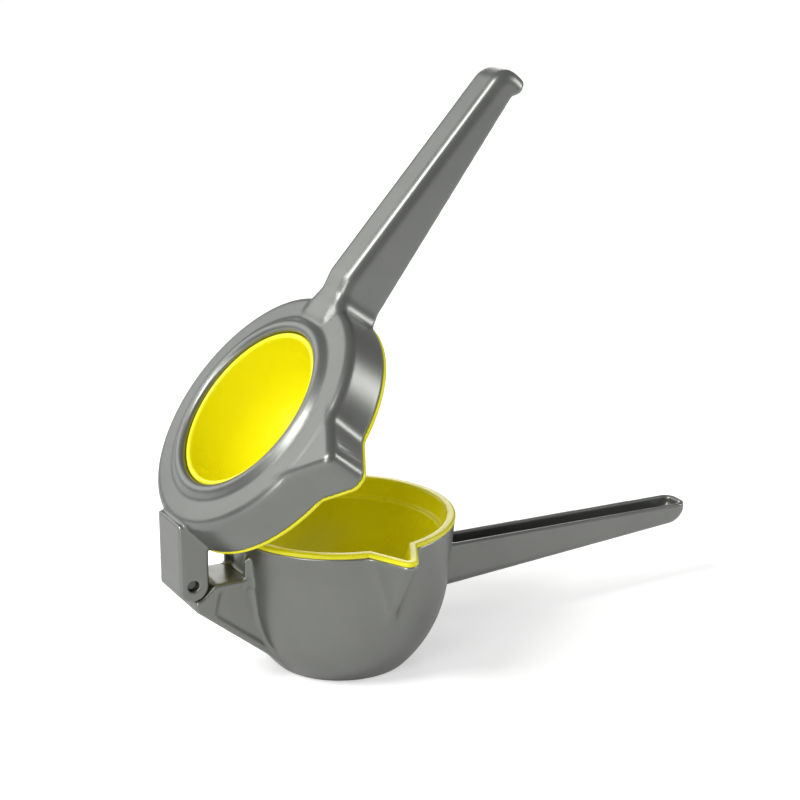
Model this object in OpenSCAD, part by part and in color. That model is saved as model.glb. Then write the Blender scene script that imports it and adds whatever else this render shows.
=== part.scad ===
// Hinged hand squeezer, cast in two arms and standing open on its own base.
// Origin: centre of the flat base, on the table. +Z up, +X towards the tip of the lower handle,
// -Y towards the pouring spout. The lower arm is drawn where it stands. The upper arm is drawn
// shut, over the bowl, and then swung open about the hinge pin.

/* [Pose] */
// Angle that the upper arm stands open, measured from shut
open_angle = 48.5; // [20:0.5:90]

/* [Bowl] */
// Outer radius of the bowl at its rim
rim_r = 46; // [44:0.5:50]
// Height of the rim above the table
rim_z = 60.6; // [58:0.2:66]
// Radius of the flat base
base_r = 27; // [24:0.5:30]
// Height at which the rounded side turns into the straight one
belly_z = 33; // [28:1:38]
// How much the straight side leans out up to the rim
rim_draft = 3; // [2:0.25:4]
// Wall of the bowl casting
bowl_wall = 2.2; // [1.8:0.1:3]
// Thickness of the bowl's floor
bowl_floor = 3; // [2.4:0.2:4]

/* [Spout] */
// Reach of the bowl's spout from the bowl's axis
spout_reach = 60.8; // [58:0.2:62]
// Radius of the spout's tip
spout_tip_r = 3.6; // [3:0.1:4.2]
// Angle of each flank of the spout
spout_flank = 27; // [22:1:32]
// Height at which the spout's keel runs out into the side
spout_low_z = 30; // [24:1:36]

/* [Bowl liner] */
// Wall of the plastic liner
liner_wall = 1.3; // [1.1:0.1:1.6]
// Height of the liner's lip on the casting
liner_lip_h = 1.8; // [1.4:0.1:2.4]
// Height of the liner's floor above the table
liner_floor_z = 12; // [10:0.5:16]
// Number of juice slots in the liner's floor
slot_count = 8; // [6:1:10]
// Width of a juice slot
slot_w = 2.6; // [2:0.2:3.2]
// Width of the pouring slot at the root of the spout
pour_w = 7; // [5:0.5:8]

/* [Lid] */
// Outer radius of the lid at its open edge
lid_r = 53.4; // [53:0.2:56]
// Height of the lid's open edge when shut
lid_low_z = 47.5; // [46.4:0.2:49]
// Height of the lid's top face at its outer edge when shut
lid_top_z = 66; // [65:0.2:68]
// Lean of the skirt
skirt_lean = 5.5; // [3:0.5:7]
// Rounding of the lid's top edge
lid_edge_r = 3.6; // [2.5:0.1:4]
// Radius of the round window in the lid
window_r = 34.4; // [33:0.2:36]
// Radius of the raised ring's section
ring_section_r = 2.8; // [2.2:0.1:3.2]
// How far the lid's spout stands out beyond the bowl's
lid_spout_over = 5.4; // [5.2:0.1:7]
// Radius of the lid spout's tip
lid_spout_tip_r = 5.2; // [4.4:0.2:6]
// Angle of each flank of the lid's spout
lid_spout_flank = 36; // [34:1:39]

/* [Press cup] */
// Outer radius of the press dome
dome_r = 33.4; // [32:0.2:34]
// Height of the dome's lowest point when shut
dome_low_z = 19; // [17:0.5:24]
// Wall of the dome
dome_wall = 2.4; // [1.8:0.1:3]
// Thickness of the flange under the lid
flange_t = 1.5; // [1.2:0.1:1.8]
// Thickness of the lining inside the skirt
lining_t = 1.1; // [0.9:0.1:1.3]
// Thickness of the lip that covers the skirt's edge
cup_lip_t = 1.6; // [1.2:0.1:2]

/* [Hinge] */
// Distance from the bowl's axis to the hinge pin
hinge_reach = 67.3; // [66.5:0.1:69]
// Height of the hinge pin
hinge_z = 45.9; // [45:0.1:46.5]
// Radius of the hinge pin
pin_r = 2.2; // [1.8:0.1:2.6]
// Depth that each end of the pin lies below the fork
pin_sunk = 2.2; // [0.8:0.1:2.6]
// Width of the fork over its two cheeks
fork_w = 21; // [19:0.5:23]
// Thickness of each cheek
cheek_t = 4.4; // [3.6:0.1:5]
// Half the breadth of a cheek around the pin
cheek_r = 6.4; // [6:0.1:6.8]
// Distance from the pin to the fork's back face
fork_back = 5.4; // [5.2:0.1:6]
// Height of the fork's flat top above the pin, along the fork
fork_top = 25.3; // [24:0.1:27]
// Depth of the heel below the pin, which stops the swing
heel_drop = 4.3; // [4:0.1:4.8]
// Thickness of the web between the cheeks
web_t = 3; // [2.4:0.1:3.4]
// Lean of the fork from upright when the press is shut
fork_lean = 48.5; // [45:0.5:52]
// Outer radius of the knuckle
knuckle_r = 4; // [3.6:0.1:4.1]
// Thickness of each thrust washer
washer_t = 0.8; // [0.5:0.1:1]

/* [Bracket] */
// Height of the bracket's top face
bracket_top_z = 44.7; // [43.5:0.1:45]
// Drop of the bracket's end face below the pin
bracket_drop = 10.9; // [10:0.1:12]
// Height at which the bracket's lower edge meets the bowl
bracket_foot_z = 9; // [6:0.5:14]
// Wall of the bracket
bracket_wall = 3; // [2.4:0.1:3.4]
// Height of the bead along the bracket's lower edge
bead_h = 2.8; // [2:0.1:3.6]
// Depth of the sunk panel on each side
panel_sunk = 0.5; // [0.3:0.1:1.2]
// Height of the small ribs beside the notch
rib_top_z = 53; // [50:0.5:55]

/* [Lower handle] */
// Reach of the lower handle from the bowl's axis
low_reach = 166; // [150:1:180]
// Width of the lower handle
low_w = 14; // [13:0.5:17]
// Height of its open edges at the bowl
low_top_z = 40.4; // [39:0.2:42]
// Height of its underside at the bowl
low_under_z = 21.7; // [20:0.2:24]
// Rise of its underside towards the tip
low_rise = 3.5; // [2.5:0.25:4]
// Fall of its open edges towards the tip
low_fall = 1.4; // [0.5:0.1:2]
// Wall of both handles
handle_wall = 2.3; // [2:0.1:2.8]

/* [Upper handle] */
// Reach of the upper handle from the bowl's axis, when shut
up_reach = 165.4; // [150:1:180]
// Width of the upper handle
up_w = 19.4; // [18:0.2:22]
// Height of its top face just past the neck
up_top_z = 70; // [69:0.2:71]
// Fall of its top face towards the tip
up_fall = 0.9; // [0:0.1:2]
// Rise of its open edges towards the tip
up_rise = 5; // [3.5:0.25:6]
// Rounding of its long top edges
up_edge_r = 3.2; // [2:0.1:4]
// Rounding of the two valleys where it leaves the lid
neck_r = 6; // [4:0.5:8]

/* [Hidden] */
$fn = 64;
eps = 0.01;
seam = 0.02;           // how far a straight outline sinks into the arc that it runs on from
big = 400;
bowl_root_y = rim_r - 16;          // where the flanks of the bowl's spout start, well inside the bowl
lid_root_y = lid_r - 11.4;         // where the flanks of the lid's spout start, inside the lid

fit_gap = 0.15;        // between a plastic insert and its casting
seat_gap = 0.01;       // between the skirt's edge and the lip under it
lid_gap = 0.4;         // between the shut lid and the bowl
spout_gap = 1.4;       // between the shut lid's lining and the bowl's spout
rim_gap = 2.2;         // between the shut lid's lining and the bowl's rim
pin_gap = 0.05;        // running clearance of the pin in the knuckle
swing_gap = 0.4;       // between the fork and the lower arm
washer_gap = 0.1;      // end play of the knuckle

silver = [0.56, 0.56, 0.55];
yellow = [0.95, 0.90, 0.05];
steel = [0.35, 0.35, 0.36];

hinge = [-hinge_reach, 0, hinge_z];

// ---- outline of the bowl: one arc from the base, then a straight lean up to the rim ----

belly = [rim_r - rim_draft, belly_z];
side_dir = [rim_draft, rim_z - belly_z] / norm([rim_draft, rim_z - belly_z]);
side_in = [-side_dir.y, side_dir.x];
foot_to_belly = belly - [base_r, 0];
arc_r = -(foot_to_belly * foot_to_belly) / (2 * (foot_to_belly * side_in));
arc_c = belly + arc_r * side_in;

function arc_x(z, inset) = arc_c.x + sqrt(pow(arc_r - inset, 2) - pow(z - arc_c.y, 2));
function side_x(z, inset) = belly.x + inset * side_in.x
    + (z - belly.y - inset * side_in.y) * side_dir.x / side_dir.y;

// Half section of the bowl, shrunk by inset, between two heights
module cup_2d(inset, z_low, z_top) {
    sunk = inset + seam;
    turn = belly + sunk * side_in;
    polygon([[0, turn.y], turn, [side_x(z_top, sunk), z_top], [0, z_top]]);
    intersection() {
        translate(arc_c) circle(arc_r - inset, $fn = 128);
        translate([0, z_low]) square([big, belly_z + 3 - z_low]);
    }
}

// Plan of a pointed spout: a round tip and two straight flanks back to root_y
module spout_2d(reach, tip_r, flank, root_y, $fn = 32) {
    round_r = max(tip_r, 0.4);
    tip_y = reach - tip_r + (tip_r - round_r) / sin(flank);
    touch = [round_r * cos(flank), tip_y + round_r * sin(flank)];
    root_w = round_r / cos(flank) + (tip_y - root_y) * tan(flank);
    translate([0, -tip_y]) circle(round_r);
    polygon([[-root_w, -root_y], [-touch.x, -touch.y], [touch.x, -touch.y], [root_w, -root_y]]);
}

// The bowl's spout, grown by grow all round
module bowl_spout_2d(grow = 0) {
    spout_2d(spout_reach + grow, spout_tip_r + grow, spout_flank, bowl_root_y);
}

// The keel of the spout: its plan at the top, drawn in to a point on the bowl's side
module spout_keel(grow, top_z) {
    keel_r = 2;
    low_y = arc_x(spout_low_z, 0) - keel_r + grow;
    hull() {
        translate([0, 0, top_z - 1]) linear_extrude(1) bowl_spout_2d(grow);
        translate([0, -low_y, spout_low_z]) sphere(keel_r, $fn = 16);
    }
}

// Cut along Y of a shape drawn in X and Z
module across(width) {
    rotate([90, 0, 0]) linear_extrude(width, center = true) children();
}

// Mirror image on both sides of the plane Y = 0
module both_sides() {
    children();
    mirror([0, 1, 0]) children();
}

// ---- lower arm ----

cast_top_z = rim_z - liner_lip_h;
bracket_end = [-hinge_reach + 0.8, hinge_z - bracket_drop];
bracket_foot = [-arc_x(bracket_foot_z, 0), bracket_foot_z];
under_dir = (bracket_foot - bracket_end) / norm(bracket_foot - bracket_end);
under_up = [-under_dir.y, under_dir.x];
slack_r = cheek_r + swing_gap;
slot_half = fork_w / 2 - cheek_t;
knuckle_half = slot_half - washer_t - washer_gap;
inner_x = -arc_x(0, bowl_wall) + fork_w / 4;

// Room for the fork's cheeks: round the pin, and where they lie when shut
module cheek_room_2d() {
    translate([hinge.x, hinge.z]) {
        circle(slack_r);
        rotate(-fork_lean) translate([-slack_r + seam, 0]) square([2 * (slack_r - seam), hinge_z]);
    }
}

module bracket_2d() {
    difference() {
        polygon([bracket_end, bracket_foot + 6 * under_dir, [inner_x, bracket_foot_z],
            [inner_x, bracket_top_z], [bracket_end.x, bracket_top_z]]);
        cheek_room_2d();
    }
}

// The hollow under the bracket, open downwards
module bracket_hollow_2d() {
    start = bracket_end + (slack_r + 2.5) * under_dir;
    below = start - 20 * under_up;
    polygon([below, start + 4 * under_up, [start.x + 4, bracket_top_z - bracket_wall],
        [0, bracket_top_z - bracket_wall], [0, below.y]]);
}

// The sunk panel on each side, framed by the bead and the top edge
module bracket_panel_2d() {
    start = bracket_end + (slack_r + 1) * under_dir + bead_h * under_up;
    end = start + hinge_reach / 2 * under_dir;
    polygon([start, end, [end.x, bracket_top_z - bead_h],
        [start.x + 2, bracket_top_z - bead_h]]);
}

module bracket() {
    difference() {
        across(fork_w) bracket_2d();
        across(fork_w - 2 * bracket_wall) bracket_hollow_2d();
        both_sides() translate([0, -fork_w / 2, 0]) across(2 * panel_sunk) bracket_panel_2d();
    }
    both_sides() bracket_rib();
}

// Small upright rib between the bracket and the bowl's side
module bracket_rib() {
    rib_w = 2.4;
    rib_out = side_x(rib_top_z, 0) + 1;
    translate([0, -fork_w / 2 + rib_w / 2, 0]) across(rib_w)
        polygon([[inner_x, bracket_top_z - 1], [-rib_out, bracket_top_z - 1],
            [-rib_out, rib_top_z - 1.5], [-rib_out + 1.5, rib_top_z], [inner_x, rib_top_z]]);
}

// The knuckle and the neck that carries it, which stands back from the sweep of the fork's heel
module knuckle() {
    back_x = hinge.x + 1.2;
    throat = [back_x + 1.9, hinge.z - 4.2];
    heel_low_z = throat.y - 3.2;
    toe_z = bracket_end.y + 1.5;
    root = bracket_end + 8 * under_dir + under_up;
    shoulder = [back_x + 8.8, bracket_top_z - 2];
    crown = [hinge.x + knuckle_r + 0.5, hinge.z - 0.5];
    translate(hinge) rotate([90, 0, 0]) cylinder(h = 2 * knuckle_half, r = knuckle_r, center = true);
    across(2 * knuckle_half) difference() {
        polygon([[back_x, hinge.z], throat, [back_x, heel_low_z], [back_x, toe_z], root, shoulder, crown]);
        translate([hinge.x, hinge.z]) circle(pin_r + 1);
    }
}

function low_edge_z(x) = low_top_z - (x - rim_r) * tan(low_fall);
function low_under(x) = low_under_z + (x - rim_r) * tan(low_rise);

low_nose_r = (low_edge_z(low_reach) - low_under(low_reach)) * 1.04;
low_nose_x = low_reach - low_nose_r;

// Side view of the lower handle, shrunk by inset at its underside and tip; lift raises its open edge
module low_side_2d(inset, lift = 0) {
    nose_z = low_under(low_nose_x) + low_nose_r;
    start_x = belly.x - bowl_wall / 2;
    end_x = low_reach + 1;
    intersection() {
        union() {
            polygon([[start_x, low_under(start_x) + inset], [low_nose_x, low_under(low_nose_x) + inset],
                [low_nose_x, nose_z + lift], [low_reach - inset, nose_z + lift],
                [low_reach - inset, big], [start_x, big]]);
            translate([low_nose_x, nose_z]) circle(low_nose_r - inset);
        }
        polygon([[start_x, 0], [end_x, 0], [end_x, low_edge_z(end_x) + lift],
            [start_x, low_edge_z(start_x) + lift]]);
    }
}

// Plan of a handle's end: rounded corners, and sides that stand clear of the bar they trim
module handle_plan_2d(reach, width, corner_r, start_x) {
    half = width / 2;
    translate([start_x, -half - 1]) square([reach - corner_r - start_x, width + 2]);
    translate([start_x, -half + corner_r]) square([reach - start_x, width - 2 * corner_r]);
    for (side = [-1, 1]) translate([reach - corner_r, side * (half - corner_r + seam)]) circle(corner_r);
}

// Section of a channel: flat side on the line, two rounded corners, open end far away
module channel_2d(width, corner_r) {
    half = width / 2;
    translate([-half, corner_r]) square([width, big / 4]);
    translate([-half + corner_r, 0]) square([width - 2 * corner_r, big / 4]);
    for (side = [-1, 1]) translate([side * (half - corner_r), corner_r]) circle(corner_r);
}

module low_bar(inset, lift = 0) {
    corner_r = 4 - inset / 2;
    intersection() {
        across(big) low_side_2d(inset, lift);
        translate([rim_r, 0, low_under_z + inset]) rotate([0, -low_rise, 0]) translate([-20, 0, 0])
            rotate([90, 0, 90]) linear_extrude(big) channel_2d(low_w - 2 * inset, corner_r);
        linear_extrude(big) handle_plan_2d(low_reach - inset, low_w - 2 * inset, 5 - inset / 2, 30);
    }
}

// The trough of the lower handle, which stops short of the bowl
module low_trough() {
    intersection() {
        low_bar(handle_wall, 3);
        translate([rim_r + 2, -big / 2, 0]) cube([big, big, big]);
    }
}

module lower_arm() {
    color(silver) difference() {
        union() {
            rotate_extrude($fn = 128) cup_2d(0, 0, cast_top_z);
            spout_keel(0, cast_top_z);
            bracket();
            knuckle();
            difference() {
                low_bar(0);
                low_trough();
            }
        }
        rotate_extrude($fn = 128) cup_2d(bowl_wall, bowl_floor, rim_z + 1);
        spout_keel(-bowl_wall, cast_top_z + 1);
        translate(hinge) rotate([90, 0, 0]) cylinder(h = fork_w, r = pin_r + pin_gap, center = true);
    }
}

// ---- bowl liner ----

liner_inset = bowl_wall + fit_gap;
liner_ball_r = side_x(belly_z, liner_inset);
liner_ball_z = liner_floor_z - liner_wall + liner_ball_r;

// Half section of the liner's cup: a ball below, a ledge, and the bowl's own side above
module liner_2d(inset) {
    top_z = rim_z + 1;
    ball_r = liner_ball_r - inset;
    intersection() {
        union() {
            translate([0, liner_ball_z]) circle(ball_r, $fn = 128);
            translate([0, liner_ball_z + inset]) square([2 * rim_r, big]);
        }
        polygon([[0, 0], [side_x(0, liner_inset + inset), 0],
            [side_x(top_z, liner_inset + inset), top_z], [0, top_z]]);
    }
}

module juice_slots() {
    slot_in = 8;
    slot_out = 21;
    for (i = [0 : slot_count - 1]) rotate(i * 360 / slot_count) {
        translate([slot_in, -slot_w / 2, 0]) cube([slot_out - slot_in, slot_w, 40]);
        for (x = [slot_in, slot_out]) translate([x, 0, 0]) cylinder(h = 40, r = slot_w / 2);
    }
    cylinder(h = 40, r = slot_w);
}

module bowl_liner() {
    color(yellow) difference() {
        union() {
            intersection() {
                rotate_extrude($fn = 128) liner_2d(0);
                cylinder(h = rim_z, r = big);
            }
            intersection() {
                spout_keel(-bowl_wall - fit_gap, rim_z);
                translate([-big / 2, -big / 2, spout_low_z - 4]) cube([big, big, big]);
            }
            translate([0, 0, cast_top_z]) linear_extrude(liner_lip_h) {
                circle(rim_r, $fn = 128);
                bowl_spout_2d();
            }
        }
        rotate_extrude($fn = 128) liner_2d(liner_wall);
        spout_keel(-bowl_wall - fit_gap - liner_wall, rim_z + 1);
        juice_slots();
        translate([-pour_w / 2, -rim_r - 2, belly_z + 1]) cube([pour_w, 12, 8]);
    }
}

// ---- upper arm, drawn shut ----

module swung_open() {
    translate(hinge) rotate([0, -open_angle, 0]) translate(-hinge) children();
}

plate_z = rim_z + lid_gap + flange_t;
metal_low_z = lid_low_z + cup_lip_t;
lining_in_r = rim_r + rim_gap;
lining_out_r = lining_in_r + lining_t;
cavity_r = lining_out_r + fit_gap;
lining_in_grow = spout_gap;
lining_out_grow = lining_in_grow + lining_t;
ring_r = window_r + ring_section_r - 0.2;
ring_z = lid_top_z + 0.6;
edge_c = [lid_r - (lid_top_z - lid_edge_r - lid_low_z) * tan(skirt_lean)
    - lid_edge_r / cos(skirt_lean), lid_top_z - lid_edge_r];
edge_touch = edge_c + lid_edge_r * [cos(skirt_lean), sin(skirt_lean)];

function skirt_x(z) = lid_r - (z - lid_low_z) * tan(skirt_lean);

// Half section of the lid: skirt, rounded edge, gently rising top and raised ring
module lid_2d() {
    polygon([[window_r, plate_z], [cavity_r, plate_z], [cavity_r, metal_low_z],
        [skirt_x(metal_low_z) - seam, metal_low_z], edge_touch - [seam, 0], edge_c, [edge_c.x, lid_top_z],
        [ring_r, lid_top_z + 1.4], [window_r, lid_top_z + 1]]);
    translate(edge_c) circle(lid_edge_r);
    translate([ring_r, ring_z]) circle(ring_section_r);
}

module lid_spout_2d(grow = 0) {
    spout_2d(spout_reach + lid_spout_over + grow, lid_spout_tip_r + grow, lid_spout_flank, lid_root_y);
}

// The lid's spout: upright flanks with a rounded top edge
module lid_spout() {
    lean_in = -(edge_touch.y - lid_low_z) * tan(skirt_lean) / 2;
    hull() {
        translate([0, 0, metal_low_z]) linear_extrude(eps) lid_spout_2d();
        translate([0, 0, edge_touch.y]) linear_extrude(eps) lid_spout_2d(lean_in);
        translate([0, 0, lid_top_z - 1]) linear_extrude(eps) lid_spout_2d(lean_in - lid_edge_r * 0.35);
        translate([0, 0, lid_top_z]) linear_extrude(eps) lid_spout_2d(lean_in - lid_edge_r);
    }
}

// Plan of the lining, grown from the bowl's rim and spout
module lining_2d(radius, grow) {
    circle(radius, $fn = 128);
    bowl_spout_2d(grow);
}

// Everything under the lid that the plastic insert fills
module lid_cavity() {
    translate([0, 0, -1]) linear_extrude(plate_z + 1)
        lining_2d(cavity_r, lining_out_grow + fit_gap);
}

// Side view of the fork, standing upright with the pin at its origin
module fork_2d() {
    intersection() {
        union() {
            circle(cheek_r);
            translate([-cheek_r, 0]) square([2 * cheek_r, fork_top]);
            translate([-cheek_r, -heel_drop]) square([cheek_r, heel_drop]);
        }
        translate([-fork_back, -big / 2]) square([big, big]);
    }
}

// The room between the cheeks: round the knuckle, up to the bridge, and all below the heel
module fork_slot_2d() {
    slot_top = 17;
    circle(knuckle_r + swing_gap);
    translate([-fork_back + web_t, -2 * cheek_r]) square([3 * cheek_r, 2 * cheek_r + slot_top]);
    translate([-2 * cheek_r, -2 * cheek_r]) square([3 * cheek_r, 2 * cheek_r - heel_drop]);
}

module fork() {
    translate(hinge) rotate([0, fork_lean, 0]) difference() {
        across(fork_w) fork_2d();
        across(2 * slot_half) fork_slot_2d();
    }
}

up_nose_r = 9.2;
up_nose_x = up_reach - up_nose_r;
neck_x = skirt_x(lid_low_z) + 8;

function up_top(x) = up_top_z - (x - neck_x) * tan(up_fall);
function up_under(x) = metal_low_z + (x - skirt_x(lid_low_z)) * tan(up_rise);

// Side view of the upper handle, shrunk by inset at its top and tip
module up_side_2d(inset) {
    start_x = edge_c.x - 3;
    nose_z = up_top(up_nose_x) - up_nose_r;
    hook_z = up_under(up_nose_x) - 2;
    polygon([[start_x, lid_top_z - inset], [neck_x, up_top(neck_x) - inset],
        [up_nose_x, up_top(up_nose_x) - inset], [up_nose_x, up_under(up_nose_x)],
        [skirt_x(lid_low_z), up_under(skirt_x(lid_low_z))], [start_x, metal_low_z]]);
    intersection() {
        translate([up_nose_x, nose_z]) circle(up_nose_r - inset);
        polygon([[up_nose_x - 1, big], [big, big], [big, hook_z], [up_nose_x + 3, hook_z],
            [up_nose_x - 1, up_under(up_nose_x - 1)]]);
    }
}

module up_bar(inset) {
    corner_r = up_edge_r - inset / 2;
    intersection() {
        across(big) up_side_2d(inset);
        translate([neck_x, 0, up_top_z - inset]) rotate([0, up_fall, 0]) translate([-30, 0, 0])
            rotate([-90, 0, 90]) linear_extrude(2 * big, center = true)
            channel_2d(up_w - 2 * inset, corner_r);
        linear_extrude(big) handle_plan_2d(up_reach - inset, up_w - 2 * inset, 6 - inset / 2, 30);
    }
}

// The hollow of the upper handle, open downwards, from the skirt to the tip
module up_trough() {
    intersection() {
        union() {
            up_bar(handle_wall);
            translate([0, 0, -3]) up_bar(handle_wall);
        }
        translate([skirt_x(lid_low_z) + 1, -big / 2, 0]) cube([big, big, big]);
    }
}

// Rounded valleys where the handle leaves the skirt
module neck() {
    c_y = up_w / 2 + neck_r;
    c_x = sqrt(pow(lid_r + neck_r, 2) - pow(c_y, 2));
    touch = [c_x, c_y] * lid_r / (lid_r + neck_r);
    both_sides() translate([0, 0, metal_low_z]) linear_extrude(lid_top_z - lid_edge_r - metal_low_z)
        difference() {
            polygon([[cavity_r, up_w / 2 - 3], [c_x, up_w / 2 - 3], [c_x, c_y], touch,
                [cavity_r - 4, touch.y - 1]]);
            translate([c_x, c_y]) circle(neck_r);
        }
}

module upper_arm() {
    color(silver) swung_open() difference() {
        union() {
            rotate_extrude($fn = 128) lid_2d();
            difference() {
                lid_spout();
                translate([0, 0, -eps]) cylinder(h = big, r = window_r + 2);
            }
            fork();
            neck();
            difference() {
                up_bar(0);
                up_trough();
            }
        }
        lid_cavity();
        translate(hinge) rotate([90, 0, 0]) cylinder(h = 2 * fork_w, r = pin_r, center = true);
    }
}

// ---- press cup, drawn shut ----

dish_edge_r = 1;
cup_neck_r = window_r - fit_gap;
cup_top_z = lid_top_z + 0.9;
dome_c_z = dome_low_z + dome_r;

// Half section of a round bottom of one radius and a side that leans to another radius at the top
module dish_side_2d(low_r, high_r, top_z) {
    intersection() {
        translate([0, dome_c_z]) circle(low_r, $fn = 128);
        translate([0, dome_low_z - 1]) square([low_r + 1, dome_r + 1 + 3 * seam]);
    }
    polygon([[0, dome_c_z], [low_r - seam, dome_c_z], [high_r, top_z], [0, top_z]]);
}

// Half section of the dish: a dome that hangs under the lid and a rounded edge in the window
module dish_2d() {
    difference() {
        union() {
            dish_side_2d(dome_r, cup_neck_r, cup_top_z - dish_edge_r);
            translate([cup_neck_r - dish_edge_r - seam, cup_top_z - dish_edge_r]) circle(dish_edge_r);
            translate([0, cup_top_z - 2 * dish_edge_r]) square([cup_neck_r - dish_edge_r, 2 * dish_edge_r]);
        }
        dish_side_2d(dome_r - dome_wall, cup_neck_r - dome_wall, cup_top_z + 1);
        translate([-big, 0]) square([big, big]);
    }
}

module press_cup() {
    color(yellow) swung_open() {
        rotate_extrude($fn = 128) dish_2d();
        difference() {
            translate([0, 0, lid_low_z]) union() {
                linear_extrude(plate_z - lid_low_z) lining_2d(lining_out_r, lining_out_grow);
                linear_extrude(cup_lip_t - seat_gap) {
                    circle(skirt_x(metal_low_z), $fn = 128);
                    lid_spout_2d();
                }
            }
            translate([0, 0, lid_low_z - 1]) linear_extrude(plate_z - flange_t - lid_low_z + 1)
                lining_2d(lining_in_r, lining_in_grow);
            cylinder(h = big, r = cup_neck_r - dome_wall / 2);
        }
    }
}

// ---- hinge hardware ----

module hinge_pin() {
    half = fork_w / 2 - pin_sunk;
    bevel = 0.5;
    color(steel) swung_open() translate(hinge) rotate([90, 0, 0]) rotate_extrude()
        polygon([[0, -half], [pin_r - bevel, -half], [pin_r, -half + bevel],
            [pin_r, half - bevel], [pin_r - bevel, half], [0, half]]);
}

module hinge_washers() {
    color(steel) swung_open() both_sides()
        translate([hinge.x, -slot_half + washer_t, hinge.z]) rotate([90, 0, 0]) difference() {
            cylinder(h = washer_t, r = knuckle_r);
            translate([0, 0, -1]) cylinder(h = washer_t + 2, r = pin_r + pin_gap);
        }
}

lower_arm();
bowl_liner();
upper_arm();
press_cup();
hinge_pin();
hinge_washers();
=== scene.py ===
"""Dresses the hinged hand squeezer: two satin castings, two glossy moulded inserts and the hinge's steel.

Each piece is worked out as a field of distances to its surface, in millimetres, so that every corner
can have the rounding and every junction the fillet that a cast or moulded part has. The upper pieces
are worked out shut, over the bowl, and then swung open about the hinge pin.
"""

import logging
import math
from dataclasses import dataclass
from enum import Enum
from functools import cached_property
from typing import Callable, ClassVar, Sequence

import bpy
import numpy as np
import openvdb
from mathutils import Matrix, Vector


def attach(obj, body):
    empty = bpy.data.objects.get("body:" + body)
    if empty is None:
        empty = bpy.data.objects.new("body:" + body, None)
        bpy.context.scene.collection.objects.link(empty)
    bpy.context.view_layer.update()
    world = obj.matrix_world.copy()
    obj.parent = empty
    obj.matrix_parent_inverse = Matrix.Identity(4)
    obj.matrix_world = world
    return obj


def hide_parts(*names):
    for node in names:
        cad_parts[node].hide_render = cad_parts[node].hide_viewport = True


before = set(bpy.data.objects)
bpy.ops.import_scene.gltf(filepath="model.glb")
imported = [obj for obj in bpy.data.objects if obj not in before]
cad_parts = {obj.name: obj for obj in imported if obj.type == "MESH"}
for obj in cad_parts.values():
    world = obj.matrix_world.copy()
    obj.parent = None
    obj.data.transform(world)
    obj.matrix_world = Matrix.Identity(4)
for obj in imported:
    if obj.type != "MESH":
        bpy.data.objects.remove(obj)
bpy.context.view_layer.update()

log = logging.getLogger("squeezer")

MM = 0.001
TINY = 1e-6
SKY = 120.0  # a height past every piece, in mm
ARC_SHARE = 0.49  # the most of a side that one corner's arc may take
GRAIN_DEPTH = 0.0001  # height of the finest bumps, in metres
MIX_SHARE, MIX_FIRST, MIX_SECOND, MIX_RESULT = 0, 6, 7, 2  # a colour mix's sockets

Array = np.ndarray
Material = bpy.types.Material
Piece = bpy.types.Object
Socket = bpy.types.NodeSocket
Tree = bpy.types.NodeTree
Corner = tuple[float, float, float]
Colour = tuple[float, float, float, float]


class Slot(Enum):
    """The record's material slots."""

    CASTING = "casting"
    INSERT = "insert"
    STEEL = "steel"


class Body(Enum):
    """The two bodies that the hinge joins."""

    LOWER = "lower"
    UPPER = "upper"


class Light(Enum):
    """The kinds of light in the studio."""

    SQUARE = "AREA"
    SUN = "SUN"


def placed(name: str, data: bpy.types.ID) -> Piece:
    """Makes an object and links it to the scene.

    Args:
        name: Name of the object.
        data: Its mesh, light or camera.

    Returns:
        The new object.
    """
    piece = bpy.data.objects.new(name, data)
    bpy.context.scene.collection.objects.link(piece)
    return piece


# ---- distance fields ----


def round_max(a: Array, b: Array, r: float) -> Array:
    """Cuts one field with another and rounds the edge between them.

    Args:
        a: Distance field of the first shape.
        b: Distance field of the second shape.
        r: Radius of the rounded edge.

    Returns:
        The distance field of what both shapes hold.
    """
    return np.minimum(np.maximum(a, b), -r) + np.hypot(np.maximum(a + r, 0), np.maximum(b + r, 0))


def round_min(a: Array, b: Array, r: float) -> Array:
    """Joins two fields with a fillet of radius r in the corner between them.

    Args:
        a: Distance field of the first shape.
        b: Distance field of the second shape.
        r: Radius of the fillet.

    Returns:
        The distance field of both shapes together.
    """
    return -round_max(-a, -b, r)


def rounded(corners: Sequence[Corner], steps: int = 10) -> Array:
    """Turns corners into a closed outline with arcs.

    Args:
        corners: (x, y, radius) of each corner in turn.
        steps: Points on each arc.

    Returns:
        The outline's points, one row each.
    """
    points: list[tuple[float, float]] = []
    count = len(corners)
    for i, (x, y, r) in enumerate(corners):
        here = np.array((x, y))
        if r <= 0:
            points.append((x, y))
            continue
        before = np.array(corners[i - 1][:2]) - here
        after = np.array(corners[(i + 1) % count][:2]) - here
        room = min(np.linalg.norm(before), np.linalg.norm(after)) * ARC_SHARE
        before, after = before / np.linalg.norm(before), after / np.linalg.norm(after)
        half = math.acos(float(np.clip(before @ after, -1, 1))) / 2
        reach = min(r / math.tan(half), room)
        r = reach * math.tan(half)
        middle = here + (before + after) / np.linalg.norm(before + after) * r / math.sin(half)
        first, last = here + before * reach - middle, here + after * reach - middle
        turn = math.atan2(first[0] * last[1] - first[1] * last[0], float(first @ last))
        for k in range(steps + 1):
            a = turn * k / steps
            c, s = math.cos(a), math.sin(a)
            points.append((middle[0] + first[0] * c - first[1] * s, middle[1] + first[0] * s + first[1] * c))
    return np.array(points)


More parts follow.
